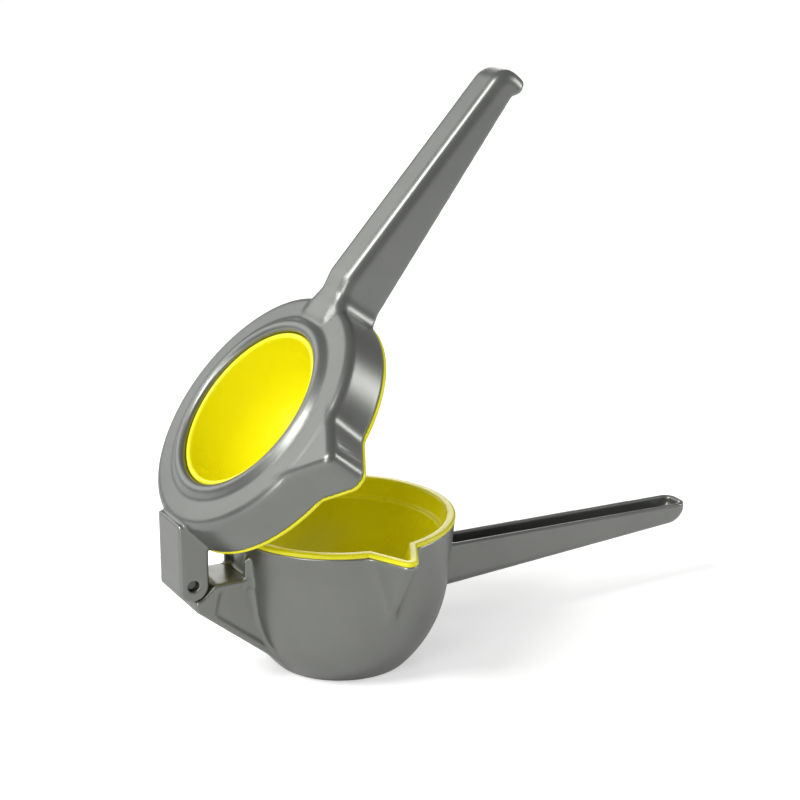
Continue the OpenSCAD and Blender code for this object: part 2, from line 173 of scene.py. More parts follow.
def outline(points: Array, u: Array, v: Array) -> Array:
    """Distance in a plane to a closed outline, negative inside.

    Args:
        points: The outline's points.
        u: First coordinate of each place.
        v: Second coordinate of each place.

    Returns:
        The signed distance at each place.
    """
    u, v = np.broadcast_arrays(u, v)
    best = np.full(u.shape, np.inf, np.float32)
    inside = np.zeros(u.shape, bool)
    for (ax, ay), (bx, by) in zip(points, np.roll(points, -1, axis=0)):
        ex, ey = bx - ax, by - ay
        size = ex * ex + ey * ey
        if size < TINY * TINY:
            continue
        du, dv = u - ax, v - ay
        t = np.clip((du * ex + dv * ey) / size, 0, 1)
        best = np.minimum(best, (du - ex * t) ** 2 + (dv - ey * t) ** 2)
        crosses = (ay <= v) != (by <= v)
        inside ^= crosses & ((du * ey - dv * ex) * (1 if ey > 0 else -1) < 0)
    return np.where(inside, -1, 1) * np.sqrt(best)


def wedge(
    x: Array, out: Array, reach: Array | float, tip_r: Array | float, flank: float, root: float
) -> Array:
    """Distance in plan to a pointed spout with a round tip.

    Args:
        x: Distance across the spout's middle line.
        out: Distance outwards along it.
        reach: How far out the tip reaches.
        tip_r: Radius of the tip.
        flank: Angle of each flank to the middle line, in degrees.
        root: How far out the spout begins.

    Returns:
        The signed distance at each place.
    """
    s, c = math.sin(math.radians(flank)), math.cos(math.radians(flank))
    across, along = np.abs(x), out - (reach - tip_r)
    behind = across * s - along * c
    point = np.where(behind < 0, np.hypot(across, along), across * c + along * s) - tip_r
    return np.maximum(point, root - out)


@dataclass
class Block:
    """The block of space in which a piece is worked out.

    Its two corners, its step, how far from the surface the field is kept and the pitch of a turned
    outline are in mm. The most that one draw moves a point towards the surface is in steps.
    """

    low: Corner
    high: Corner
    step: float
    kept: float = 3.0
    draws: int = 2
    most: float = 0.4
    least_slope: float = 0.05
    pitch: float = 0.2

    def __post_init__(self) -> None:
        """Lays out the three axes, ready to be combined, and the distance from the Z axis."""
        axes = [np.arange(a, b + self.step, self.step, dtype=np.float32) for a, b in zip(self.low, self.high)]
        self.x = axes[0][:, None, None]
        self.y = axes[1][None, :, None]
        self.z = axes[2][None, None, :]
        self.radius = np.hypot(self.x, self.y)

    def turned(self, corners: Sequence[Corner], steps: int = 10) -> Array:
        """Field of a rounded outline turned about the Z axis.

        Args:
            corners: (radius, height, rounding) of each corner in turn.
            steps: Points on each arc.

        Returns:
            The distance field, in mm.
        """
        radius = self.radius[:, :, 0]
        fine = np.arange(0, radius.max() + 1, self.pitch, dtype=np.float32)
        table = outline(rounded(corners, steps), fine[:, None], self.z[0]).astype(np.float32)
        place = radius / self.pitch
        low = np.minimum(place.astype(int), len(fine) - 2)
        part = (place - low)[:, :, None].astype(np.float32)
        return table[low] * (1 - part) + table[low + 1] * part

    def side(self, corners: Sequence[Corner], steps: int = 10) -> Array:
        """Field of a rounded outline in X and Z that runs on along Y."""
        return outline(rounded(corners, steps), self.x, self.z)

    def skin(self, name: str, solid: Array, place: Matrix) -> Piece:
        """Makes the mesh of a field's surface, with each point drawn onto it and its true normal.

        Args:
            name: Name of the piece.
            solid: The field, in mm, negative inside.
            place: Turn and shift of the piece from there to its pose at rest, in metres.

        Returns:
            The new object, linked to the scene.
        """
        grid = openvdb.FloatGrid()
        near = np.clip(solid, -self.kept, self.kept)
        grid.copyFromArray(np.ascontiguousarray(near, dtype=np.float32))
        points, quads = grid.convertToQuads(isovalue=0.0)
        points = points.astype(float)
        slopes = np.gradient(solid)
        for _ in range(self.draws):
            normal = self.sample(slopes, points)
            size = np.linalg.norm(normal, axis=1)[:, None]
            depth = self.sample([solid], points) / np.maximum(size, self.least_slope)
            points -= np.clip(depth, -self.most, self.most) * normal / np.maximum(size, TINY)
        normal = self.sample(slopes, points)
        normal /= np.maximum(np.linalg.norm(normal, axis=1)[:, None], TINY)
        world = (points * self.step + np.array(self.low)) * MM
        mesh = bpy.data.meshes.new(name)
        mesh.from_pydata(world.tolist(), [], quads.tolist())
        mesh.transform(place)
        turn = np.array(place.to_3x3().normalized())
        mesh.shade_smooth()
        mesh.normals_split_custom_set_from_vertices((normal @ turn.T).tolist())
        return placed(name, mesh)

    @staticmethod
    def sample(fields: Sequence[Array], points: Array) -> Array:
        """Reads fields between their places.

        Args:
            fields: The fields to read.
            points: Where to read them, counted in steps from the low corner.

        Returns:
            One row for each point and one column for each field.
        """
        low = np.clip(np.floor(points).astype(int), 0, np.array(fields[0].shape) - 2)
        part = np.clip(points - low, 0, 1)
        total = np.zeros((len(points), len(fields)))
        for corner in np.ndindex(2, 2, 2):
            share = np.prod(np.where(np.array(corner) == 1, part, 1 - part), axis=1)
            i, j, k = (low + np.array(corner)).T
            for n, values in enumerate(fields):
                total[:, n] += share * values[i, j, k]
        return total


# ---- finishes ----


@dataclass(frozen=True)
class Wiring:
    """A node tree and short words for adding to it."""

    tree: Tree

    def add(self, kind: str, **settings: object) -> bpy.types.Node:
        """Adds a node of a kind, with settings and input values by name.

        Args:
            kind: The node's type name.
            settings: Attributes of the node, or values of its inputs under i_NAME.

        Returns:
            The new node.
        """
        node = self.tree.nodes.new(kind)
        for key, value in settings.items():
            if key.startswith("i_"):
                node.inputs[key[2:].replace("_", " ")].default_value = value
            else:
                setattr(node, key, value)
        return node

    def feed(self, socket: Socket, value: object) -> None:
        """Links another socket to this one, or gives it a plain value.

        Args:
            socket: The input to feed.
            value: A socket, number or colour.
        """
        if isinstance(value, Socket):
            self.tree.links.new(value, socket)
        else:
            socket.default_value = value

    def sums(self, operation: str, a: object, b: object, clamp: bool = False) -> Socket:
        """Adds a maths node fed by sockets or numbers.

        Args:
            operation: What the node works out.
            a: First number or socket.
            b: Second number or socket.
            clamp: Whether the result stays from 0 to 1.

        Returns:
            The node's result.
        """
        node = self.add("ShaderNodeMath", operation=operation, use_clamp=clamp)
        self.feed(node.inputs[0], a)
        self.feed(node.inputs[1], b)
        return node.outputs[0]

    def blend(self, share: object, a: object, b: object) -> Socket:
        """Mixes two colours.

        Args:
            share: How much of the second, as a number or socket.
            a: First colour or socket.
            b: Second colour or socket.

        Returns:
            The mixed colour.
        """
        node = self.add("ShaderNodeMix", data_type="RGBA")
        for place, value in ((MIX_SHARE, share), (MIX_FIRST, a), (MIX_SECOND, b)):
            self.feed(node.inputs[place], value)
        return node.outputs[MIX_RESULT]


def new_group(
    name: str, control: str, value: float, results: Sequence[str]
) -> tuple[Wiring, Socket, bpy.types.Node]:
    """Starts a node group that has one control.

    Args:
        name: Name of the group.
        control: Name of its input.
        value: The input's usual value.
        results: Names of its outputs.

    Returns:
        The group's wiring, the control's socket and the node that takes the results.
    """
    tree = bpy.data.node_groups.new(name, "ShaderNodeTree")
    tree.interface.new_socket(control, in_out="INPUT", socket_type="NodeSocketFloat").default_value = value
    for result in results:
        tree.interface.new_socket(result, in_out="OUTPUT", socket_type="NodeSocketFloat")
    w = Wiring(tree)
    return w, w.add("NodeGroupInput").outputs[control], w.add("NodeGroupOutput")


def cast_grain() -> Tree:
    """Builds the group for the fine unevenness of a polished casting or a moulding.

    Returns:
        A group with Scale in, and Height, Cloud and Scuff out.
    """
    w, size, end = new_group("cast_grain", "Scale", 1.0, ("Height", "Cloud", "Scuff"))
    where = w.add("ShaderNodeTexCoord")
    scuff_from, scuff_gain = 0.52, 5.0
    for name, scale, detail, rough in (
        ("Height", 610.0, 2.0, 0.5),
        ("Cloud", 38.0, 3.0, 0.5),
        ("Scuff", 190.0, 6.0, 0.7),
    ):
        noise = w.add("ShaderNodeTexNoise", i_Detail=detail, i_Roughness=rough)
        w.feed(noise.inputs["Vector"], where.outputs["Object"])
        w.feed(noise.inputs["Scale"], w.sums("MULTIPLY", size, scale))
        found = noise.outputs[0]
        if name == "Scuff":
            found = w.sums("MULTIPLY", w.sums("SUBTRACT", found, scuff_from), scuff_gain, clamp=True)
        w.feed(end.inputs[name], found)
    return w.tree


def edge_wear_and_shade() -> Tree:
    """Builds the group that finds outer edges, and inner corners for painted shade.

    Returns:
        A group with Sharpness in, and Edge and Hollow out.
    """
    w, sharp, end = new_group("edge_wear_and_shade", "Sharpness", 8.0, ("Edge", "Corner Shade"))
    bend = w.add("ShaderNodeNewGeometry").outputs["Pointiness"]
    edge_from, shade_from = 0.53, 0.465
    # Edge marks convex edges for wear; the second mask marks inner corners, where the materials paint shade
    for name, a, b in (("Edge", bend, edge_from), ("Corner Shade", shade_from, bend)):
        w.feed(end.inputs[name], w.sums("MULTIPLY", w.sums("SUBTRACT", a, b), sharp, clamp=True))
    return w.tree


def shade(colour: Colour, times: float) -> Colour:
    """A colour made darker or lighter by a factor."""
    red, green, blue = (v * times for v in colour[:3])
    return red, green, blue, 1


@dataclass(frozen=True)
class SatinCasting:
    """Satin finish of polished metal.

    Its colours are the main one, from dark to light patches, that of worn edges and the painted shade
    of inner corners. Mist and scuff are how much rougher the light patches and the scuffs make it.
    """

    base: Colour = (0.225, 0.231, 0.219, 1)
    edge: Colour = (0.62, 0.63, 0.61, 1)
    # painted shade: the darker colour laid into inner corners
    hollow: Colour = (0.1125, 0.1155, 0.1095, 1)
    dark: float = 0.86
    light: float = 1.12
    wear: float = 0.75
    # how strongly that painted shade darkens the inner corners
    corner_shade: float = 0.3
    roughness: float = 0.28
    mist: float = 0.1
    scuff: float = 0.06
    bumps: float = 0.09
    metal: float = 0.8

    def material(self, name: str, grain: Tree, edges: Tree) -> Material:
        """Builds the material.

        Args:
            name: Name of the material.
            grain: The group of fine unevenness.
            edges: The group that finds edges, and inner corners for painted shade.

        Returns:
            The finished material.
        """
        made = bpy.data.materials.new(name)
        made.use_nodes = True
        w = Wiring(made.node_tree)
        shader = made.node_tree.nodes["Principled BSDF"]
        fine = w.add("ShaderNodeGroup", node_tree=grain)
        wear_and_shade = w.add("ShaderNodeGroup", node_tree=edges)
        cloud = fine.outputs["Cloud"]
        colour = w.blend(cloud, shade(self.base, self.dark), shade(self.base, self.light))
        colour = w.blend(w.sums("MULTIPLY", wear_and_shade.outputs["Edge"], self.wear), colour, self.edge)
        # painted shade: inner corners darken towards the hollow colour
        colour = w.blend(w.sums("MULTIPLY", wear_and_shade.outputs["Corner Shade"], self.corner_shade), colour, self.hollow)
        w.feed(shader.inputs["Base Color"], colour)
        rough = w.sums("ADD", self.roughness, w.sums("MULTIPLY", cloud, self.mist))
        rough = w.sums("ADD", rough, w.sums("MULTIPLY", fine.outputs["Scuff"], self.scuff))
        w.feed(shader.inputs["Roughness"], rough)
        bump = w.add("ShaderNodeBump", i_Strength=self.bumps, i_Distance=GRAIN_DEPTH)
        w.feed(bump.inputs["Height"], fine.outputs["Height"])
        w.feed(shader.inputs["Normal"], bump.outputs[0])
        shader.inputs["Metallic"].default_value = self.metal
        return made


@dataclass(frozen=True)
class GlossyMoulding(SatinCasting):
    """Glossy finish of a moulded insert, built in the same way from values of its own."""

    base: Colour = (0.92, 0.86, 0.004, 1)
    edge: Colour = (1, 0.9488, 0.02432, 1)
    # painted shade of inner corners, a deeper orange-yellow
    hollow: Colour = (0.78, 0.58, 0.0, 1)
    dark: float = 0.93
    light: float = 1.0
    wear: float = 0.5
    corner_shade: float = 0.5
    roughness: float = 0.24
    mist: float = 0.08
    scuff: float = 0.05
    bumps: float = 0.06
    metal: float = 0.0


@dataclass(frozen=True)
class WornSteel(SatinCasting):
    """Finish of the hinge's dark turned steel."""

    base: Colour = (0.12, 0.12, 0.12, 1)
    edge: Colour = (0.4, 0.4, 0.4, 1)
    # painted shade of inner corners
    hollow: Colour = (0.06, 0.06, 0.06, 1)
    roughness: float = 0.25


def all_finishes() -> dict[Slot, Material]:
    """Builds the shared groups once, and one material for each slot.

    Returns:
        The finished materials.
    """
    grain, edges = cast_grain(), edge_wear_and_shade()
    return {
        Slot.CASTING: SatinCasting().material("satin_casting", grain, edges),
        Slot.INSERT: GlossyMoulding().material("glossy_moulding", grain, edges),
        Slot.STEEL: WornSteel().material("hinge_steel", grain, edges),
    }


# ---- sub-assemblies, with lengths in mm and angles in degrees ----


class SubAssembly:
    """What the sub-assemblies share: the body they ride on, their finish and their block of space."""

    body: ClassVar[Body]
    slot: ClassVar[Slot]
    low: Corner
    high: Corner
    step: float

    @cached_property
    def block(self) -> Block:
        """The block of space from the lowest to the highest corner."""
        return Block(self.low, self.high, self.step)

    def dress(self, piece: Piece, finishes: dict[Slot, Material]) -> None:
        """Gives a piece this sub-assembly's finish."""
        piece.data.materials.append(finishes[self.slot])


@dataclass
class Hinge:
    """The hinge line, how far the upper arm stands open, and the sizes of fork, knuckle and pin."""

    reach: float = 67.3
    height: float = 45.9
    open_angle: float = 48.5
    pin_r: float = 2.2
    pin_sunk: float = 2.2
    pin_end_r: float = 0.5
    bore_gap: float = 0.05
    fork_w: float = 21.0
    fork_back: float = 5.4
    fork_top: float = 25.3
    cheek_r: float = 6.4
    heel_drop: float = 4.3
    web: float = 3.0
    slot_half: float = 6.1
    slot_top: float = 17.0
    slack_r: float = 6.8
    slack_top: float = 40.0
    knuckle_r: float = 4.0
    knuckle_half: float = 5.2
    knuckle_gap: float = 0.4
    washer_t: float = 0.8
    washer_edge: float = 0.15

    def swing(self) -> Matrix:
        """Turn from the shut pose to the open one, in metres."""
        pin = Matrix.Translation(Vector((-self.reach, 0, self.height)) * MM)
        return pin @ Matrix.Rotation(math.radians(-self.open_angle), 4, "Y") @ pin.inverted()

    def from_pin(self, block: Block) -> Array:
        """Distance of each place from the pin's centre line."""
        return np.hypot(block.x + self.reach, block.z - self.height)

    def leaning(self, block: Block) -> tuple[Array, Array]:
        """Coordinates that lean with the fork, with the pin at the origin.

        Args:
            block: The block of space.

        Returns:
            How far each place is across the fork and along it.
        """
        dx, dz = block.x + self.reach, block.z - self.height
        c, s = math.cos(math.radians(self.open_angle)), math.sin(math.radians(self.open_angle))
        return dx * c - dz * s, dx * s + dz * c


@dataclass
class BowlShape:
    """Sizes of the bowl and its spout, which the liner and the lid also follow."""

    base_r: float = 27.0
    rim_r: float = 46.0
    rim_z: float = 60.6
    belly_z: float = 33.0
    rim_draft: float = 3.0
    wall: float = 2.2
    floor: float = 3.0
    lip_h: float = 1.8
    cut_z: float = 90.0
    arc_start: float = 2.5
    arc_count: int = 24
    spout_reach: float = 60.8
    spout_tip_r: float = 3.6
    spout_flank: float = 27.0
    spout_in: float = 16.0
    keel_z: float = 30.0
    keel_tip_r: float = 2.0
    keel_run: float = 1.3
    keel_scale: float = 0.87
    least_tip_r: float = 0.4

    def __post_init__(self) -> None:
        """Works out the arc of the rounded side."""
        self.belly = np.array((self.rim_r - self.rim_draft, self.belly_z))
        up = np.array((self.rim_draft, self.rim_z - self.belly_z))
        self.up = up / np.linalg.norm(up)
        self.inward = np.array((-self.up[1], self.up[0]))
        chord = self.belly - np.array((self.base_r, 0))
        self.arc_r = float(-(chord @ chord) / (2 * (chord @ self.inward)))
        self.middle = self.belly + self.arc_r * self.inward

    def arc_x(self, z: float, inset: float = 0.0) -> float:
        """Radius of the rounded side at a height."""
        return float(self.middle[0] + math.sqrt((self.arc_r - inset) ** 2 - (z - self.middle[1]) ** 2))

    def side_x(self, z: float, inset: float = 0.0) -> float:
        """Radius of the straight side at a height."""
        start = self.belly + inset * self.inward
        return float(start[0] + (z - start[1]) * self.up[0] / self.up[1])

    def profile(self, inset: float, low: float, foot_r: float) -> list[Corner]:
        """Outline of the bowl, from its floor to well above the rim, and past the middle line.

        Args:
            inset: How far it lies inside the outer side.
            low: Height of the floor.
            foot_r: Radius of the rounded foot.

        Returns:
            The outline's (radius, height, rounding) corners.
        """
        past, high = -20, self.cut_z
        heights = np.linspace(low + self.arc_start, self.belly_z, self.arc_count)
        side = [(self.arc_x(z, inset), z, 0.0) for z in heights]
        foot, top = (self.arc_x(low, inset), low, foot_r), (self.side_x(high, inset), high, 0.0)
        return [(past, low, 0), foot, *side, top, (past, high, 0)]

    def plan(self, block: Block, grow: float) -> Array:
        """Field in plan of the spout, grown all round."""
        reach, tip_r, root = self.spout_reach + grow, self.spout_tip_r + grow, self.rim_r - self.spout_in
        return wedge(block.x, -block.y, reach, tip_r, self.spout_flank, root)

    def keel(self, block: Block, grow: float, top_z: float) -> Array:
        """Field of the spout, drawn in towards the bowl's side further down.

        Args:
            block: The block of space.
            grow: How far it is grown all round.
            top_z: Height of its top.

        Returns:
            The field.
        """
        full_z = top_z - 1
        drop = np.clip((full_z - block.z) / (full_z - self.keel_z), 0, 1)
        low_reach = self.arc_x(self.keel_z) + grow
        reach = (self.spout_reach + grow) * (1 - drop) + low_reach * drop
        reach = reach - np.maximum(self.keel_z - block.z, 0) * self.keel_run
        tip_r = max(self.spout_tip_r + grow, self.least_tip_r) * (1 - drop) + self.keel_tip_r * drop
        root = self.rim_r - self.spout_in
        return wedge(block.x, -block.y, reach, tip_r, self.spout_flank, root) * self.keel_scale


@dataclass
class LowerCasting(SubAssembly):
    """The casting that stands on the table: bowl, spout, hinge bracket and lower handle."""

    body = Body.LOWER
    slot = Slot.CASTING

    bowl: BowlShape
    hinge: Hinge
    low: Corner = (-77.5, -65, -4)
    high: Corner = (171, 52, 66)
    step: float = 0.7
    handle_reach: float = 166.0
    handle_w: float = 14.0
    handle_wall: float = 2.3
    handle_in: float = 3.0
    edge_z: float = 40.4
    edge_fall: float = 1.4
    edge_r: float = 0.7
    under_z: float = 21.7
    under_rise: float = 3.5
    under_r: float = 4.0
    nose_share: float = 1.04
    nose_lift: float = 0.3
    tip_r: float = 5.0
    trough_r: float = 2.6
    trough_in: float = 2.0
    trough_start_r: float = 3.0
    trough_end_r: float = 3.5
    trough_edge: float = 0.55
    bracket_top: float = 44.7
    bracket_drop: float = 10.9
    bracket_foot: float = 9.0
    bracket_in: float = 6.0
    bracket_wall: float = 3.0
    bracket_r: float = 0.8
    bracket_edge: float = 0.9
    hollow_off: float = 2.5
    hollow_r: float = 2.0
    bead: float = 2.8
    panel_off: float = 1.0
    panel_sunk: float = 0.5
    rib_top: float = 53.0
    rib_half: float = 1.2
    rib_in: float = 4.0
    foot_r: float = 1.2
    floor_r: float = 3.0
    keel_fillet: float = 2.5
    handle_fillet: float = 3.0
    bracket_fillet: float = 1.6
    bore_half: float = 9.0

    def handle(self) -> Array:
        """Field of the channel handle, open at its top.

        Returns:
            The field.
        """
        block, bowl, reach = self.block, self.bowl, self.handle_reach
        rise, fall = math.tan(math.radians(self.under_rise)), math.tan(math.radians(self.edge_fall))
        edge = block.z - (self.edge_z - (block.x - bowl.rim_r) * fall)
        end_edge = self.edge_z - (reach - bowl.rim_r) * fall
        end_under = self.under_z + (reach - bowl.rim_r) * rise
        nose_r = (end_edge - end_under) * self.nose_share
        nose_z = self.under_z + (reach - nose_r - bowl.rim_r) * rise + self.nose_lift
        start = bowl.belly[0] - self.handle_in
        corners = [(start, self.under_z + (start - bowl.rim_r) * rise, 0), (reach, nose_z, nose_r)]
        corners += [(reach, SKY, 0), (start, SKY, 0)]
        below = block.side(corners, steps=24)
        across = np.abs(block.y) - self.handle_w / 2
        bar = round_max(below, across, self.under_r)
        bar = np.maximum(bar, round_max(block.x - reach, across, self.tip_r))
        inner = across + self.handle_wall
        trough = round_max(below + self.handle_wall, inner, self.trough_r)
        trough = round_max(trough, bowl.rim_r + self.trough_in - block.x, self.trough_start_r)
        end = round_max(block.x - reach + self.handle_wall, inner, self.trough_end_r)
        bar = round_max(bar, -np.maximum(trough, end), self.trough_edge)
        return round_max(bar, edge, self.edge_r)

    def bracket(self) -> Array:
        """Field of the hinge bracket with its bead, panels, hollow and ribs.

        Returns:
            The field.
        """
        block, bowl, hinge = self.block, self.bowl, self.hinge
        r, hollow_r = self.bracket_r, self.hollow_r
        across = np.abs(block.y) - hinge.fork_w / 2
        inner, top = -bowl.arc_x(0, bowl.wall) + hinge.fork_w / 4, self.bracket_top
        # the full plate, with room for the fork to swing
        end = np.array((-hinge.reach + r, hinge.height - self.bracket_drop))
        foot = np.array((-bowl.arc_x(self.bracket_foot), self.bracket_foot))
        along = (foot - end) / np.linalg.norm(foot - end)
        up = np.array((-along[1], along[0]))
        corners = [(*end, r), (*(foot + self.bracket_in * along), 0), (inner, self.bracket_foot, 0)]
        plate = block.side([*corners, (inner, top, 0), (end[0], top, r)])
        u, v = hinge.leaning(block)
        half = hinge.slack_top / 2
        way = np.maximum(np.abs(u) - hinge.slack_r, np.abs(v - half) - half)
        room = np.minimum(np.hypot(u, v) - hinge.slack_r, way)
        shape = round_max(round_max(plate, -room, r), across, self.bracket_edge)
        # the hollow, open below
        start = end + (hinge.slack_r + self.hollow_off) * along
        below, high, room = start - 20 * up, top - self.bracket_wall, 2 * hollow_r
        corners = [(*below, 0), (*(start + room * up), hollow_r), (start[0] + room, high, hollow_r)]
        hollow = block.side([*corners, (0, high, 0), (0, below[1], 0)])
        shape = round_max(shape, -round_max(hollow, across + self.bracket_wall, 1.5), 0.7)
        # the sunk panels, inside the bead
        start = end + (hinge.slack_r + self.panel_off) * along + self.bead * up
        last, high = start + hinge.reach / 2 * along, top - self.bead
        corners = [(*start, 1.5), (*last, 0), (last[0], high, 0), (start[0] + hollow_r, high, hollow_r)]
        panel = block.side(corners)
        shape = round_max(shape, -round_max(panel, -across - self.panel_sunk, 1.2), 1.0)
        # the two ribs up to the bowl's rim
        out, low, high = bowl.side_x(self.rib_top) + 1, top - self.rib_in, self.rib_top
        rib = block.side([(inner, low, 0), (-out, low, 0), (-out, high, 1.4), (inner, high, 0)])
        width = np.abs(np.abs(block.y) - hinge.fork_w / 2 + self.rib_half) - self.rib_half
        return round_min(shape, round_max(rib, width, 0.7), 1.0)

    def knuckle(self) -> Array:
        """Field of the knuckle and its neck.

        Returns:
            The field.
        """
        block, hinge = self.block, self.hinge
        near, high = -hinge.reach + 1.2, hinge.height
        end_z, top_z = high - self.bracket_drop, self.bracket_top - 2
        throat, bulge, toe = (near + 1.9, high - 4.2, 1), (near, high - 7.4, 0.6), (near, end_z + 1.5, 1)
        root, shoulder, crown = (near + 6.6, end_z - 4, 0), (near + 9, top_z, 0), (near + 3.3, high - 0.5, 1)
        neck = block.side([(near, high, 0), throat, bulge, toe, root, shoulder, crown])
        shape = round_min(hinge.from_pin(block) - hinge.knuckle_r, neck, 0.6)
        return round_max(shape, np.abs(block.y) - hinge.knuckle_half, 0.5)

    def build(self) -> Piece:
        """Joins the casting's parts and makes its mesh.

        Returns:
            The new piece.
        """
        block, bowl, hinge = self.block, self.bowl, self.hinge
        top = bowl.rim_z - bowl.lip_h
        solid = block.turned(bowl.profile(0, 0, self.foot_r))
        solid = round_min(solid, bowl.keel(block, 0, top), self.keel_fillet)
        solid = round_min(solid, self.handle(), self.handle_fillet)
        solid = round_min(solid, self.bracket(), self.bracket_fillet)
        solid = round_min(solid, self.knuckle(), 1.0)
        cavity = block.turned(bowl.profile(bowl.wall, bowl.floor, self.floor_r))
        cavity = round_min(cavity, bowl.keel(block, -bowl.wall, top), 1.0)
        solid = round_max(solid, -cavity, 0.3)
        solid = round_max(solid, block.z - top, 0.4)
        solid = np.maximum(solid, -block.z)
        bore = hinge.pin_r + hinge.bore_gap - hinge.from_pin(block)
        bore = np.where(np.abs(block.y) < self.bore_half, bore, -self.bore_half)
        solid = round_max(solid, bore, 0.3)
        return block.skin("lower_casting", solid, Matrix.Identity(4))


@dataclass
class UpperCasting(SubAssembly):
    """The casting that swings: lid, spout cover, fork of the hinge and upper handle."""

    body = Body.UPPER
    slot = Slot.CASTING

    bowl: BowlShape
    hinge: Hinge
    low: Corner = (-80, -70, 36)
    high: Corner = (169, 57, 74)
    step: float = 0.7
    lid_r: float = 53.4
    low_z: float = 49.1
    edge_z: float = 47.5
    top_z: float = 66.0
    plate_z: float = 62.5
    skirt_lean: float = 5.5
    edge_r: float = 3.6
    window_r: float = 34.4
    ring_r: float = 37.0
    ring_h: float = 1.4
    ring_lift: float = 0.1
    ring_section: float = 2.8
    ring_fillet: float = 1.8
    cavity_r: float = 49.45
    cavity_grow: float = 2.65
    spout_reach: float = 66.2
    spout_tip_r: float = 5.2
    spout_flank: float = 36.0
    spout_root: float = 42.0
    spout_edge: float = 3.0
    handle_reach: float = 165.4
    handle_w: float = 19.4
    handle_wall: float = 2.3
    handle_top: float = 70.0
    handle_fall: float = 0.9
    handle_out: float = 8.0
    handle_in: float = 7.0
    handle_edge: float = 5.5
    handle_fillet: float = 6.0
    neck_r: float = 14.0
    under_rise: float = 5.0
    nose_r: float = 9.2
    tip_r: float = 7.5
    tip_edge: float = 2.5
    trough_r: float = 3.2
    trough_end_r: float = 5.5
    trough_start_r: float = 3.0
    fork_from: float = -45.0

    def skirt_x(self, z: float) -> float:
        """Radius of the skirt at a height."""
        return self.lid_r - (z - self.edge_z) * math.tan(math.radians(self.skirt_lean))

    def lid(self) -> Array:
        """Field of the lid's skirt, top and raised ring.

        Returns:
            The field.
        """
        block = self.block
        inner, crown = 20, self.top_z + self.ring_h
        corners = [(inner, self.low_z, 0), (self.skirt_x(self.low_z), self.low_z, 0.3)]
        corners += [(self.skirt_x(self.top_z), self.top_z, self.edge_r), (self.ring_r, crown, 0)]
        body = block.turned([*corners, (inner, crown, 0)], steps=16)
        ring = np.hypot(block.radius - self.ring_r, block.z - self.top_z - self.ring_lift)
        return round_min(body, ring - self.ring_section, self.ring_fillet)

    def spout_plan(self, block: Block, lean: Array | float) -> Array:
        """Field in plan of the spout's cover, drawn in by lean."""
        reach, tip_r = self.spout_reach - lean, self.spout_tip_r - lean
        return wedge(block.x, -block.y, reach, tip_r, self.spout_flank, self.spout_root)

    def spout(self) -> Array:
        """Field of the cover over the bowl's spout.

        Returns:
            The field.
        """
        block = self.block
        lean = (block.z - self.low_z) * math.tan(math.radians(self.skirt_lean)) / 2
        shape = round_max(self.spout_plan(block, lean), block.z - self.top_z, self.spout_edge)
        return np.maximum(shape, self.low_z - block.z)

    def handle(self) -> tuple[Array, Array]:
        """Fields of the channel handle, open on its underside.

        Returns:
            The field of the full handle and that of its channel.
        """
        block = self.block
        fall, rise = math.tan(math.radians(self.handle_fall)), math.tan(math.radians(self.under_rise))
        skirt, start = self.skirt_x(self.edge_z), self.skirt_x(self.top_z) - self.handle_in
        reach = self.handle_reach
        neck_x, nose_x = skirt + self.handle_out, reach - self.nose_r
        nose_top = self.handle_top - (nose_x - neck_x) * fall
        back, past, deep = start - 30, 300, -60
        corners = [(start, self.top_z, 0), (neck_x, self.handle_top, self.neck_r)]
        corners += [(reach, nose_top, self.nose_r), (reach, deep, 0), (start, deep, 0)]
        above = block.side(corners, steps=24)
        under = self.low_z + (nose_x - skirt) * rise
        corners = [(back, self.low_z, 0), (skirt, self.low_z, 0), (nose_x, under, 1)]
        corners += [(nose_x + 3, under - 2, 1), (past, under - 2, 0), (past, past, 0), (back, past, 0)]
        kept = block.side(corners)
        across = np.abs(block.y) - self.handle_w / 2
        bar = round_max(above, across, self.handle_edge)
        bar = round_max(bar, round_max(block.x - reach - 1.0, across, self.tip_r), self.tip_edge)
        inner = across + self.handle_wall
        trough = round_max(above + self.handle_wall, inner, self.trough_r)
        trough = np.maximum(trough, round_max(block.x - reach + self.handle_wall, inner, self.trough_end_r))
        return round_max(bar, kept, 0.6), round_max(trough, skirt + 1 - block.x, self.trough_start_r)

    def fork(self) -> Array:
        """Field of the hinge's fork.

        Returns:
            The field.
        """
        block, hinge = self.block, self.hinge
        u, v = hinge.leaning(block)
        r, top, heel = hinge.cheek_r, hinge.fork_top, hinge.heel_drop
        bar = np.maximum(np.abs(u) - r, np.abs(v - top / 2) - top / 2)
        foot = np.maximum(np.abs(u + r / 2) - r / 2, np.abs(v) - heel)
        cheek = np.minimum(np.minimum(np.hypot(u, v) - r, bar), foot)
        cheek = round_max(cheek, -hinge.fork_back - u, 0.8)
        shape = round_max(cheek, np.abs(block.y) - hinge.fork_w / 2, 1.0)
        slot = np.maximum(hinge.web - hinge.fork_back - u, v - hinge.slot_top)
        slot = np.minimum(slot, v + heel)
        slot = np.minimum(slot, np.hypot(u, v) - hinge.knuckle_r - hinge.knuckle_gap)
        slot = np.maximum(slot, np.abs(block.y) - hinge.slot_half)
        return round_max(shape, -slot, 0.4)

